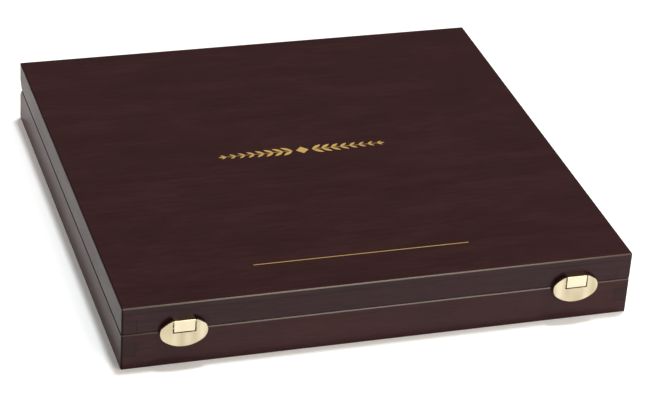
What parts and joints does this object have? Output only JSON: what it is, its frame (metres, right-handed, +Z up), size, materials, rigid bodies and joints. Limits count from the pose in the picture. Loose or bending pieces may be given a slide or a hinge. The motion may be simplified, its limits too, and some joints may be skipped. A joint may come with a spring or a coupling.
{
  "type": "pencil box",
  "caption": "Flat hinged wooden case with finger-jointed rails, oval brass flip latches on the front, and two grooved pencil trays under a padded lid.",
  "frame": {"origin": "centre of the flat underside", "axes": "+Z up, -Y towards the front with the latches, +Y towards the hinges, +X to the right seen from the front"},
  "size_m": [0.39, 0.3885, 0.0515],
  "materials": {
    "base_wood": "satin",
    "lid_wood": "satin",
    "lid_veneer": "satin",
    "plywood": "matte",
    "tray_flock": "matte",
    "pad_cloth": "satin",
    "latch_brass": "polished",
    "hinge_brass": "gloss",
    "screw_brass": "gloss",
    "gilt_foil": "gloss"
  },
  "bodies": {
    "base": {"base_rail_front": "base_wood", "base_rail_back": "base_wood", "base_rail_left": "base_wood", "base_rail_right": "base_wood", "base_panel": "plywood", "tray_front": "tray_flock", "tray_rear": "tray_flock", "keeper_left": "latch_brass", "keeper_right": "latch_brass", "hinge_left_base_leaf": "hinge_brass", "hinge_right_base_leaf": "hinge_brass", "hinge_left_pin": "hinge_brass", "hinge_right_pin": "hinge_brass", "hinge_base_screws": "screw_brass", "keeper_screws": "screw_brass"},
    "lid": {"lid_rail_front": "lid_wood", "lid_rail_back": "lid_wood", "lid_rail_left": "lid_wood", "lid_rail_right": "lid_wood", "lid_panel": "lid_veneer", "lid_pad": "pad_cloth", "latch_bracket_left": "latch_brass", "latch_bracket_right": "latch_brass", "latch_pin_left": "latch_brass", "latch_pin_right": "latch_brass", "hinge_left_lid_leaf": "hinge_brass", "hinge_right_lid_leaf": "hinge_brass", "hinge_lid_screws": "screw_brass", "bracket_screws": "screw_brass"},
    "latch_left": {"latch_plate_left": "latch_brass"},
    "latch_right": {"latch_plate_right": "latch_brass"}
  },
  "joints": [
    {"name": "lid_hinge", "type": "hinge", "parent": "base", "child": "lid", "pos_m": [0, 0.1845, 0.0295], "axis": [-1, 0, 0], "range_deg": [0, 95]},
    {"name": "latch_left_swing", "type": "hinge", "parent": "lid", "child": "latch_left", "pos_m": [-0.15, -0.1945, 0.0376], "axis": [-1, 0, 0], "range_deg": [0, 90]},
    {"name": "latch_right_swing", "type": "hinge", "parent": "lid", "child": "latch_right", "pos_m": [0.15, -0.1945, 0.0376], "axis": [-1, 0, 0], "range_deg": [0, 90]}
  ]
}
